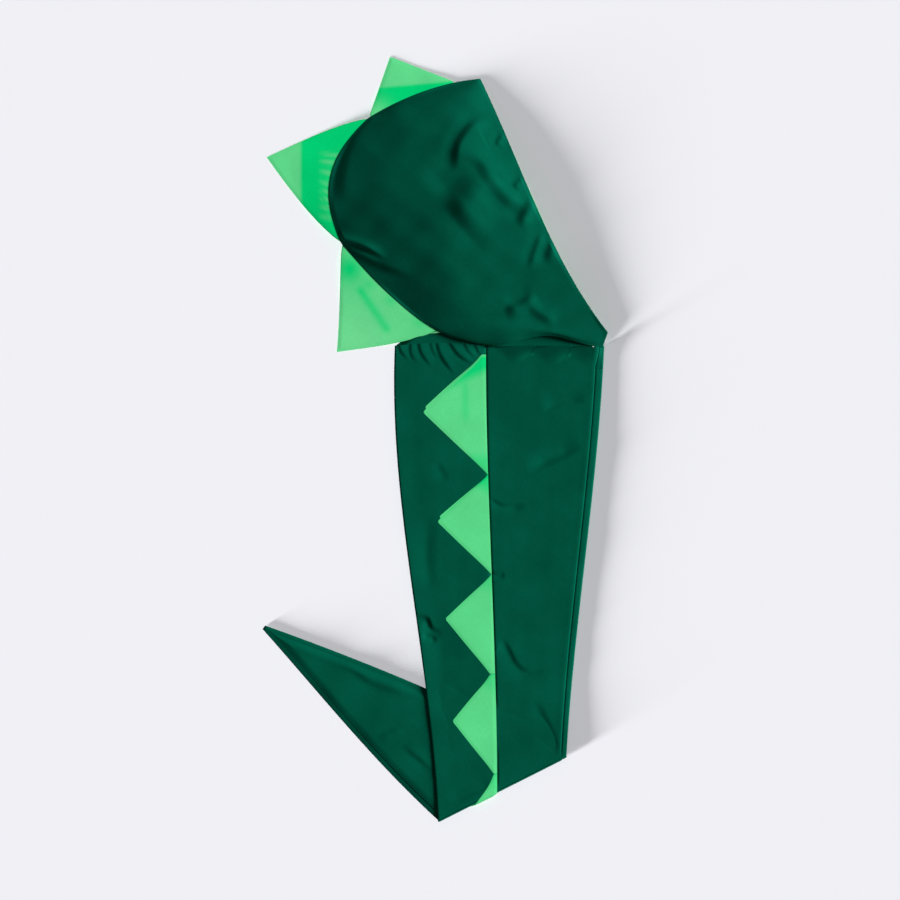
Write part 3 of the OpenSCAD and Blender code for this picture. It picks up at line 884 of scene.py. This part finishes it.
def hood_spike_painted_shade(name, rel):
    """How much painted shade the colour takes, from 0 to 1, at places in mm from the nape. The back spike is
    shaded from a line across it to the seam, where it bends away from the light, with paler pleats there that
    are painted highlights on its wrinkles.
    The crown spike is deep below a line along it: painted shade where it bends, and partly its own deeper
    colour by the seam. The nape spike has spots and a streak of painted shade in its creases."""
    x, y = rel[..., 0], rel[..., 1]
    if name == "back":
        # Painted highlights: paler streaks on the wrinkles beside the seam.
        pleats = (0.5 + 0.5 * np.sin(2 * np.pi * (y + 0.15 * x) / 10.5 + np.sin(y / 9))) ** 2
        pleats = pleats * smooth((x + 197) / 14) * smooth((228 - y) / 12) * smooth((y - 138) / 15)
        return mix(0.3, 1.0, smooth((x + 217) / 4)) - 0.6 * pleats
    if name == "crown":
        q = beside(rel, np.array([(-120.0, 297.0), (-45.0, 303.5)]))[0]
        return mix(0.3, 1.0, smooth((2 - q) / 4)) - 0.7 * spot(rel, -128, 268, 14)
    # Painted shade in the nape spike's creases.
    deep = 0.7 * spot(rel, -159, 88, 16) + 0.6 * streak(rel, (-146, 63), (-117, 20), 5)
    deep = deep + 0.35 * (spot(rel, -136, 70, 6) + spot(rel, -112, 52, 6) + spot(rel, -77, 29, 8))
    return 0.3 - 0.25 * spot(rel, -150, 5, 40) + deep


class BuildHoodSpikes(bpy.types.Operator):
    """Builds the three spikes in the hood's back seam, each of two plies and a core."""

    bl_idname = "dragon.hood_spikes"
    bl_label = "Hood spikes"

    def execute(self, context):
        sizes = context.scene.dragon_sizes
        p = Pattern(sizes)
        for name in HOOD_SPIKES:
            joint = p.joints[f"hood_spike_{name}_lift"]
            hinge = np.array(joint["pos_m"])
            for layer, label in enumerate(LAYERS):
                points = hood_spike_points(p, name, layer)
                grids = [(points, layer != 0)]
                core = layer == 1
                # The plies' tones are painted shade and highlight, partly the cloth's own deeper colour by
                # the seam.
                tones_and_shade = None if core else [hood_spike_painted_shade(name, p.rel(points[..., :2]))]
                cloth_of = stiffener(context) if core else spike_cloth(context)
                obj = cloth(f"hood_spike_{name}_{label}_ply", grids, 0.8 * sizes.cloth, cloth_of, tones_and_shade)
                declare(grids, ["table"])
                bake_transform(obj)
                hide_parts(f"hood_spike_{name}_{label}")
        return {"FINISHED"}


def tail_width_at(p, d):
    return p.tail_x(RIGHT_SIDE, d) - p.tail_x(LEFT_SIDE, d)


def edge_round(p, d):
    """Half width of the soft side edges, less at the tip."""
    return EDGE_ROUND * np.minimum(1, tail_width_at(p, d) / (30 * MM))


def wrap_width(p, d):
    """How far the left panel goes under the left edge, less at the tip."""
    return np.minimum(WRAP, 0.3 * tail_width_at(p, d))


def side_seam_x(p, d):
    roll = p.sizes.side_roll * (1 - (d / p.sizes.tail_length) ** 2)
    return p.tail_x(RIGHT_SIDE, d) - np.maximum(roll, 1.2 * edge_round(p, d))


def left_columns(p):
    """Columns of the left panel, from the centre seam over the left edge and a short way under. Gives x at
    distances d, and how far down the edge each column is, from 0 on top to 1 below."""
    turn = np.linspace(0, np.pi, 11)[1:]
    flat = spread(84)
    under = np.linspace(0, 1, 7)[1:]
    v = np.concatenate([flat, np.ones(len(turn) + len(under))])
    bulge = np.concatenate([0 * flat, -np.sin(turn), 0 * under])
    inward = np.concatenate([0 * flat, 0 * turn, under])
    low = np.concatenate([0 * flat, (1 - np.cos(turn)) / 2, 1 + 0 * under])

    def x_of(d):
        edge = p.tail_x(LEFT_SIDE, d) + edge_round(p, d)
        return mix(p.tail_x(CENTRE_SEAM, d), edge, v) + bulge * edge_round(p, d) + inward * wrap_width(p, d)

    return x_of, low


def right_columns(p):
    """Columns of the right panel, from the centre seam to the side seam."""
    v = spread(104)
    return (lambda d: mix(p.tail_x(CENTRE_SEAM, d), side_seam_x(p, d), v)), 0 * v


def under_columns(p):
    """Columns of the under panel, from the left panel's edge below, round the right edge, to its seam."""
    turn = np.linspace(0, np.pi, 11)[1:]
    flat = np.linspace(0, 1, 60)
    over = np.linspace(0, 1, 9)[1:]
    v = np.concatenate([flat, np.ones(len(turn) + len(over))])
    bulge = np.concatenate([0 * flat, np.sin(turn), 0 * over])
    back = np.concatenate([0 * flat, 0 * turn, over])
    low = np.concatenate([1 + 0 * flat, (1 + np.cos(turn)) / 2, 0 * over])

    def x_of(d):
        start = p.tail_x(LEFT_SIDE, d) + edge_round(p, d) + wrap_width(p, d)
        edge = p.tail_x(RIGHT_SIDE, d) - edge_round(p, d)
        return mix(start, edge, v) + bulge * edge_round(p, d) - back * (edge - side_seam_x(p, d))

    return x_of, low


def seam_groove(gap, depth, width):
    return -depth * np.exp(-(gap / width) ** 2)


def neck_fall(p, xy, d):
    """How far the gathers below the neck seam have run out, from 0 at the seam to 1, in a scalloped line."""
    beyond = np.clip(p.rel(xy)[..., 0] - PLEAT_START, 0, None)
    scallop = MM * (9 + 0.06 * beyond + 11 * np.sin(np.pi * beyond / PLEAT_WIDTH) ** 2)
    return smooth(np.clip(d, 0, None) / scallop)


def tail_relief(p, xy, d):
    """Relief on top of the main tail: folds and gathers, a soft roll below the neck seam on the left, the
    pleats on the right, grooves at the seams, and the fall of the strip past the side seam. None at the
    crease."""
    rel = p.rel(xy)
    height = folds(rel, TAIL_FOLDS, sunk=True) + folds(rel, NECK_GATHERS)
    fall = neck_fall(p, xy, d)
    inside = (xy[..., 0] - p.tail_x(LEFT_SIDE, d)) / (30 * MM)
    fade = 1 - smooth((d - 20 * MM) / (130 * MM))
    roll = fall * smooth(inside) * (1 - smooth((rel[..., 0] + 30) / 30)) * fade
    height = height + 0.6 * MM * roll + p.neck_lift(xy) * (1 - fall)
    height = height + seam_groove(xy[..., 0] - p.tail_x(CENTRE_SEAM, d), 0.7 * MM, 1.5 * MM)
    side = xy[..., 0] - side_seam_x(p, d)
    pucker = 1 + 0.5 * np.sin(2 * np.pi * d / (11 * MM) + 1.5 * np.sin(d / (37 * MM)))
    height = height + seam_groove(side, 0.6 * MM, 0.9 * MM) - 0.08 * np.clip(side, 0, None)
    height = height + 0.08 * MM * pucker * np.exp(-((np.abs(side) - 4 * MM) / (2.5 * MM)) ** 2)
    return height * smooth((p.above_crease(xy) - 1 * MM) / (10 * MM))


def main_points(p, columns, rows):
    """Panel of the tail from the neck to the crease, with its rows closer together near the neck. The left
    part of the neck edge bows up a little."""
    x_of, low = columns
    last = p.meets_crease(x_of, low.shape)
    left = p.tail_x(LEFT_SIDE, 0)
    bow = 3.5 * MM * bell((p.nape[0] - x_of(0)) / (p.nape[0] - left)) * (1 - low)
    first = 0.2 * MM - bow
    d = first + (last - first) * np.linspace(0, 1, rows)[:, None] ** 1.2
    xy = np.stack([x_of(d), p.nape[1] - d], -1)
    top = p.tail_top(xy) + tail_relief(p, xy, d) * (1 - low)
    pleat = p.neck_lift(xy) * (1 - neck_fall(p, xy, d))
    xy[..., 0] += PLEAT_LEAN * np.sqrt(pleat * PLEAT_RISE * MM) * (1 - low)
    return grid3(xy, mix(top, p.tail_bottom(xy), low))


def turn_points(p, last_row, steps=14):
    """The cloth at the crease: the panel's last row, swept half a turn about the fold's axis."""
    angle = np.linspace(0, np.pi, steps)[:, None]
    high = last_row[:, 2] - p.crease[2]
    xy = last_row[None, :, :2] - (high * np.sin(angle))[..., None] * p.up
    return grid3(xy, p.crease[2] + high * np.cos(angle))


def end_points(p, columns, rows):
    """Panel of the tail past the crease, folded under: outer panels face down, and the under panel faces up.
    Free edges droop towards the table."""
    x_of, low = columns
    first = p.meets_crease(x_of, low.shape) + 0.4 * MM
    d = first + (p.sizes.tail_length - first) * np.linspace(0, 1, rows)[:, None]
    x = x_of(d)
    straight = np.stack([x, p.nape[1] - d], -1)
    xy = p.folded(straight)
    away = -p.above_crease(straight)
    edge = np.minimum(x - p.tail_x(LEFT_SIDE, d), p.tail_x(RIGHT_SIDE, d) - x)
    edge = np.minimum(edge, p.sizes.tail_length - d)
    droop = (1 - smooth(edge / (14 * MM))) * smooth(away / (30 * MM))
    rel = p.rel(xy)
    free = smooth(away / (50 * MM)) * (1 - droop)
    upper = p.crease[2] - 0.5 * MM - 1.7 * MM * droop
    upper = upper + free * (MM * (0.35 + 0.3 * ripple(rel, 70, 5)) + folds(rel, END_FOLDS))
    upper = upper + 0.35 * MM * (1 - smooth((p.tail_x(RIGHT_SIDE, d) - x - 3.5 * MM) / (1.5 * MM)))
    lower = p.crease[2] - 1.7 * MM - 1.5 * MM * droop
    return grid3(xy, mix(lower, upper, low))


class BuildTail(bpy.types.Operator):
    """Builds the three panels of the tail, the turn at the crease and the folded end."""

    bl_idname = "dragon.tail"
    bl_label = "Tail panels"

    def execute(self, context):
        sizes = context.scene.dragon_sizes
        p = Pattern(sizes)
        turns = []
        for side, columns, faces_up in (
            ("left", left_columns(p), True),
            ("right", right_columns(p), True),
            ("under", under_columns(p), False),
        ):
            main = main_points(p, columns, MAIN_ROWS)
            end = end_points(p, columns, END_ROWS)
            turns.append((turn_points(p, main[-1]), True))
            for name, body, grids, stands_for, rests in (
                (f"tail_{side}_cloth", "tail", [(main, faces_up)], f"tail_{side}_panel", ["table"]),
                (f"tail_end_{side}_cloth", "tail_end", [(end, not faces_up)], f"tail_end_{side}_panel",
                 ["table"]),
            ):
                panel = cloth(name, grids, sizes.cloth, satin(context))
                declare(grids, rests)
                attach(panel, body)
                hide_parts(stands_for)
        turn = cloth("tail_crease_cloth", turns, sizes.cloth, satin(context))
        declare(turns, ["tail_end_left_cloth"])
        x, y, z = p.crease
        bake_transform(turn)
        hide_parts("tail_crease")
        return {"FINISHED"}


def spike_span(sizes, i):
    """Distances from the neck between which a tail spike stands in the centre seam."""
    start = FIRST_SPIKE_AT * MM + (0 if i == 0 else sizes.first_spike + (i - 1) * sizes.next_spike)
    stop = FIRST_SPIKE_AT * MM + sizes.first_spike + i * sizes.next_spike
    return start + SPIKE_ROOM * MM, stop - SPIKE_ROOM * MM


def spike_reach(sizes, i):
    return sizes.first_reach if i == 0 else sizes.second_reach - sizes.reach_step * (i - 1)


def tail_spike_plan(p, i, layer, rows=34, cols=44):
    """Plan of a tail spike's ply or core on the straight tail: a band along the seam, then a triangle to the
    point, whose edges curve in near the band. The back plies of the first two spikes show past the front
    ones."""
    sizes = p.sizes
    core = layer == 1
    s = mix(*TAIL_CORE[0], spread(cols)) if core else spread(cols)
    t = mix(*TAIL_CORE[1], spread(rows)) if core else spread(rows)
    start, stop = spike_span(sizes, i)
    d = mix(start, stop, s)
    seam = np.stack([p.tail_x(CENTRE_SEAM, d), p.nape[1] - d], -1)
    band = MM * mix(SPIKE_BANDS[i], SPIKE_BANDS[i + 1], s)
    top = mix(start, stop, APEX_SHARES[i])
    apex = np.array([p.tail_x(CENTRE_SEAM, top) - spike_reach(sizes, i), p.nape[1] - top])
    if i < 2:
        apex = apex + PLY_SHARES[layer] * MM * np.array(PLY_SHIFT)
    strip = np.clip(t / BAND_SHARE, 0, 1)[:, None]
    rise = np.clip((t - BAND_SHARE) / (1 - BAND_SHARE), 0, 1)[:, None]
    foot = seam[None] - np.stack([strip * band, 0 * strip * band], -1)
    blunt = np.stack([0 * s, 1.0 * MM * (1 - 2 * s)], -1)
    xy = mix(foot, (apex + blunt)[None], rise[..., None])
    curve_in = 15 * rise * (1 - rise) ** 5
    xy[..., 1] -= curve_in * MM * (TOP_CURVES[i] * (1 - s) ** 3 - 0.8 * s ** 3)
    return xy, s, t


def spike_lift(xy, s, t, layer):
    """Height of a tail spike's layers above the tail: close at the rim, parted by the core inside."""
    width = np.linalg.norm(xy[:, -1] - xy[:, 0], axis=-1)[:, None]
    rim = smooth(np.minimum(s, 1 - s) * width / (6 * MM)) * smooth((1 - t) * 10)[:, None]
    rim = mix(1, rim, smooth(t * 6)[:, None])
    root = smooth(t * 10)[:, None]
    return MM * (TAIL_LAYERS[layer] + TAIL_PUFF[layer] * rim) * mix(0.4, 1, root)


def tail_spike_tone_and_shade(p, i, plan, s):
    """How deep the colour is, from 0 to 1: the cloth's own deeper colour along the edges, and painted shade
    beside the seam at the top, and on the first spike over its whole top, in a streak below that, and at its
    bottom."""
    d = p.nape[1] - plan[..., 1]
    off = (p.tail_x(CENTRE_SEAM, d) - plan[..., 0]) / MM
    down = (d - spike_span(p.sizes, i)[0]) / MM
    edge = np.minimum(s, 1 - s) * np.linalg.norm(plan[:, -1] - plan[:, 0], axis=-1)[:, None] / MM
    if i > 0:
        top = smooth((30 - down - 0.6 * off) / 20)
        return 0.36 + 0.14 * (1 - smooth(edge / 5)) + (0.5 if i == 1 else 0.25) * top
    line = np.exp(-((off - 24) / 4) ** 2) * smooth((down - 30) / 8) * smooth((85 - down) / 20)
    top = smooth((26 + 0.45 * off - down) / 14) * smooth(edge / 4)
    return 0.36 + 0.62 * top + 0.3 * line + 0.35 * smooth((down - 108) / 15)


class BuildTailSpikes(bpy.types.Operator):
    """Builds the six spikes along the tail's centre seam, each of two plies and a core."""

    bl_idname = "dragon.tail_spikes"
    bl_label = "Tail spikes"

    def execute(self, context):
        sizes = context.scene.dragon_sizes
        p = Pattern(sizes)
        for i in range(len(APEX_SHARES)):
            for layer, label in enumerate(LAYERS):
                self.build(context, p, i, layer, label)
        return {"FINISHED"}

    def build(self, context, p, i, layer, label):
        sizes = context.scene.dragon_sizes
        core = layer == 1
        plan, s, t = tail_spike_plan(p, i, layer)
        lift = spike_lift(plan, s, t, layer)
        if i < 4:
            relief = np.maximum(tail_relief(p, plan, p.nape[1] - plan[..., 1]), 0)
            points = grid3(plan, p.tail_top(plan) + relief + lift)
        else:
            points = self.over_crease(p, plan, lift)
        grids = [(points, (layer != 0) == (i < 5))]
        # The plies' tones are mostly painted shade, with the cloth's own deeper colour along the edges.
        tones_and_shade = None if core else [tail_spike_tone_and_shade(p, i, plan, s)]
        cloth_of = stiffener(context) if core else spike_cloth(context)
        obj = cloth(f"tail_spike_{i + 1}_{label}_ply", grids, 0.8 * sizes.cloth, cloth_of, tones_and_shade)
        declare(grids, ["tail_left_cloth"])
        if i == 4:
            x, y, z = p.crease
            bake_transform(obj)
            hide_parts(f"tail_spike_5_upper_{label}", f"tail_spike_5_lower_{label}")
            return
        joint = p.joints[f"tail_spike_{i + 1}_flip"]
        axis, hinge = np.array(joint["axis"]), np.array(joint["pos_m"])
        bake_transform(obj)
        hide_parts(f"tail_spike_{i + 1}_{label}")

    def over_crease(self, p, plan, lift):
        """Bends a spike round the crease: straight before it, half a turn about the axis, then on below."""
        past = -p.above_crease(plan)
        high = p.top - p.crease[2] + lift
        arc = np.pi * high
        angle = np.pi * np.clip(past / arc, 0, 1)
        across = np.where(past < 0, -past, 0) + np.where(past > arc, past - arc, 0)
        on_line = p.crease[:2] + ((plan - p.crease[:2]) @ p.along)[..., None] * p.along
        xy = on_line + (across - high * np.sin(angle))[..., None] * p.up
        return grid3(xy, p.crease[2] + high * np.cos(angle))


def rounded_tab(rows=18, cols=40):
    """Plan of the neck tab: a strip with one round end."""
    lo, hi = (np.array(corner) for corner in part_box("neck_tab_strap"))
    half = (hi[1] - lo[1]) / 2
    u = np.linspace(0, 1, cols)
    x = mix(lo[0], hi[0] - 2 * MM, u)
    reach = np.clip((lo[0] + half - x) / half, 0, 1)
    breadth = np.sqrt(np.clip(1 - reach ** 2, 0.004, 1)) * half
    v = np.linspace(-1, 1, rows)
    y = (lo[1] + hi[1]) / 2 + v[:, None] * breadth
    return np.stack([np.broadcast_to(x, y.shape), y], -1)


def thread(starts, ends, radius, steps=7, around=9):
    """Tubes of thread between places, thinner at their ends, as grids for a piece."""
    f = np.linspace(0, 1, steps)[:, None, None]
    angle = np.linspace(0, 2 * np.pi, around)[:, None]
    grids = []
    for start, end in zip(starts, ends):
        run = (end - start) / np.linalg.norm(end - start)
        ring = np.cos(angle) * np.cross(run, (0, 0, 1)) + np.sin(angle) * np.array([0, 0, 1.0])
        thin = radius * mix(0.35, 1, np.sin(np.pi * f) ** 0.5)
        grids.append((mix(start, end, f) + thin * ring, True))
    return grids


class BuildFastening(bpy.types.Operator):
    """Builds the neck tab with its hook patch and stitches, and the loop patch."""

    bl_idname = "dragon.fastening"
    bl_label = "Neck fastening"

    def execute(self, context):
        p = Pattern(context.scene.dragon_sizes)
        lo, hi = (np.array(corner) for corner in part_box("neck_tab_strap"))
        plan = rounded_tab()
        grids = [(grid3(plan, hi[2] - 0.05 * MM), True), (grid3(plan, lo[2] + 0.05 * MM), False)]
        strap = cloth("neck_tab_cloth", grids, 0.4 * MM, satin(context))
        declare(grids, ["table"])
        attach(strap, "neck_tab")
        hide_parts("neck_tab_strap")
        self.hook_patch(context)
        self.loop_patch(context, p)
        self.stitches(context, p)
        return {"FINISHED"}

    def hook_patch(self, context):
        """Tape under the tab, with rows of short hooks that point down."""
        lo, hi = (np.array(corner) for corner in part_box("neck_tab_hook_patch"))
        x, y = np.meshgrid(np.linspace(lo[0], hi[0], 90), np.linspace(lo[1], hi[1], 52))
        hooks = (np.sin(np.pi * x / (1.6 * MM)) * np.sin(np.pi * y / (1.6 * MM))) ** 2
        grids = [(np.stack([x, y, lo[2] + 0.3 * MM * (1 - hooks)], -1), False)]
        patch = cloth("neck_tab_hook_tape", grids, 0.6 * MM, tape(context))
        declare(grids, ["neck_tab_cloth"])
        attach(patch, "neck_tab")
        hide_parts("neck_tab_hook_patch")

    def loop_patch(self, context, p):
        """Tape with a soft pile on the outside of the lower half, beside its chin corner."""
        points = hood_left_points(p, np.linspace(0.845, 0.915, 40), np.linspace(0.62, 0.92, 60))
        points[..., 2] += MM * (-0.9 + 0.06 * ripple(p.rel(points[..., :2]), 2.5, 9))
        grids = [(points, False)]
        patch = cloth("neck_loop_tape", grids, 0.7 * MM, tape(context))
        declare(grids, ["hood_left_half"])
        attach(patch, "hood")
        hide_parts("neck_loop_patch")

    def stitches(self, context, p):
        """Four pale stitches at the right end of the neck seam, which hold the tab."""
        x = p.nape[0] + MM * np.array([120.5, 123.5, 126.5, 129.5])
        ends = []
        for shift, d in ((-1.1, 0.7), (1.1, 1.5)):
            plan = np.stack([x + shift * MM, 0 * x + p.nape[1] - d * MM], -1)
            high = p.tail_top(plan) + tail_relief(p, plan, 0 * x + d * MM)
            ends.append(grid3(plan, high + 0.3 * MM))
        tack = cloth("neck_tab_stitches", thread(*ends, 0.45 * MM), 0.05 * MM, stiffener(context))
        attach(tack, "tail")


class BuildStage(bpy.types.Operator):
    """Sets the table, lamps and camera."""

    bl_idname = "dragon.stage"
    bl_label = "Stage"

    def execute(self, context):
        scene = context.scene
        floor = self.table(context)
        world = bpy.data.worlds.new("room")
        world.use_nodes = True
        world.node_tree.nodes["Background"].inputs[0].default_value = (1, 1, 1, 1)
        world.node_tree.nodes["Background"].inputs[1].default_value = ROOM_LIGHT
        scene.world = world
        made = [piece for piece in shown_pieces() if piece is not floor]
        shells = [piece for piece in made if piece.active_material.name == "dark satin"]
        others = [piece for piece in made if piece not in shells]
        hood = [piece for piece in made if piece.name.startswith("hood")]
        tail = [piece for piece in made if piece.name.startswith("tail") and piece.name != "tail_right_cloth"]
        lamps = [
            self.sun(scene, "key", KEY_SUN, shells, shells),
            self.sun(scene, "side", SIDE_SUN, others),
            self.sun(scene, "hood low", HOOD_SUN, [floor], hood),
            self.sun(scene, "tail low", TAIL_SUN, [floor], tail),
        ]
        camera = bpy.data.objects.new("camera", bpy.data.cameras.new("camera"))
        camera.location = CAMERA_PLACE
        camera.data.lens = LENS
        camera.data.sensor_width = SENSOR
        camera.data.clip_start, camera.data.clip_end = CAMERA_CLIP
        scene.collection.objects.link(camera)
        scene.camera = camera
        scene.view_settings.view_transform = "Standard"
        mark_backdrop(floor, *lamps, camera)
        return {"FINISHED"}

    def table(self, context):
        half = TABLE_HALF
        mesh = bpy.data.meshes.new("table")
        corners = [(-half, -half, 0), (half, -half, 0), (half, half, 0), (-half, half, 0)]
        mesh.from_pydata(corners, [], [(0, 1, 2, 3)])
        material = bpy.data.materials.new("table")
        material.use_nodes = True
        bsdf = material.node_tree.nodes["Principled BSDF"]
        bsdf.inputs["Base Color"].default_value = (*context.scene.dragon_colours.table, 1)
        bsdf.inputs["Roughness"].default_value = 0.9
        bsdf.inputs["Specular IOR Level"].default_value = 0.0
        mesh.materials.append(material)
        floor = bpy.data.objects.new("table", mesh)
        context.scene.collection.objects.link(floor)
        return floor

    def sun(self, scene, name, looks, lit, shading=None):
        """A sun that shines from one direction on some pieces only, with a size that softens its shadows. All
        pieces throw shadows in it unless some are named."""
        towards, strength, size = looks
        data = bpy.data.lights.new(name, "SUN")
        data.energy = strength
        data.angle = np.radians(size)
        lamp = bpy.data.objects.new(name, data)
        lamp.rotation_mode = "QUATERNION"
        lamp.rotation_quaternion = Vector(towards).to_track_quat("Z", "Y")
        scene.collection.objects.link(lamp)
        lamp.light_linking.receiver_collection = self.group(f"lit by {name}", lit)
        if shading:
            lamp.light_linking.blocker_collection = self.group(f"shading {name}", shading)
        return lamp

    def group(self, name, members):
        made = bpy.data.collections.new(name)
        for member in members:
            made.objects.link(member)
        return made


class DragonPanel(bpy.types.Panel):
    """Sizes, colours and build steps in the sidebar."""

    bl_idname = "VIEW3D_PT_dragon_hood"
    bl_label = "Dragon hood"
    bl_space_type = "VIEW_3D"
    bl_region_type = "UI"
    bl_category = "Dragon hood"

    def draw(self, context):
        for group in (context.scene.dragon_sizes, context.scene.dragon_colours):
            for name in group.__annotations__:
                self.layout.prop(group, name)
        for step in STEPS:
            self.layout.operator(step.bl_idname)


STEPS = (BuildHood, BuildLinings, BuildHoodSpikes, BuildTail, BuildTailSpikes, BuildFastening, BuildStage)
CLASSES = (DragonSizes, DragonColours, *STEPS, DragonPanel)


def register():
    for made in CLASSES:
        bpy.utils.register_class(made)
    bpy.types.Scene.dragon_sizes = bpy.props.PointerProperty(type=DragonSizes)
    bpy.types.Scene.dragon_colours = bpy.props.PointerProperty(type=DragonColours)


def unregister():
    del bpy.types.Scene.dragon_colours
    del bpy.types.Scene.dragon_sizes
    for made in reversed(CLASSES):
        bpy.utils.unregister_class(made)


def main():
    register()
    bpy.ops.dragon.hood()
    bpy.ops.dragon.linings()
    bpy.ops.dragon.hood_spikes()
    bpy.ops.dragon.tail()
    bpy.ops.dragon.tail_spikes()
    bpy.ops.dragon.fastening()
    bpy.ops.dragon.stage()


if __name__ == "__main__":
    main()
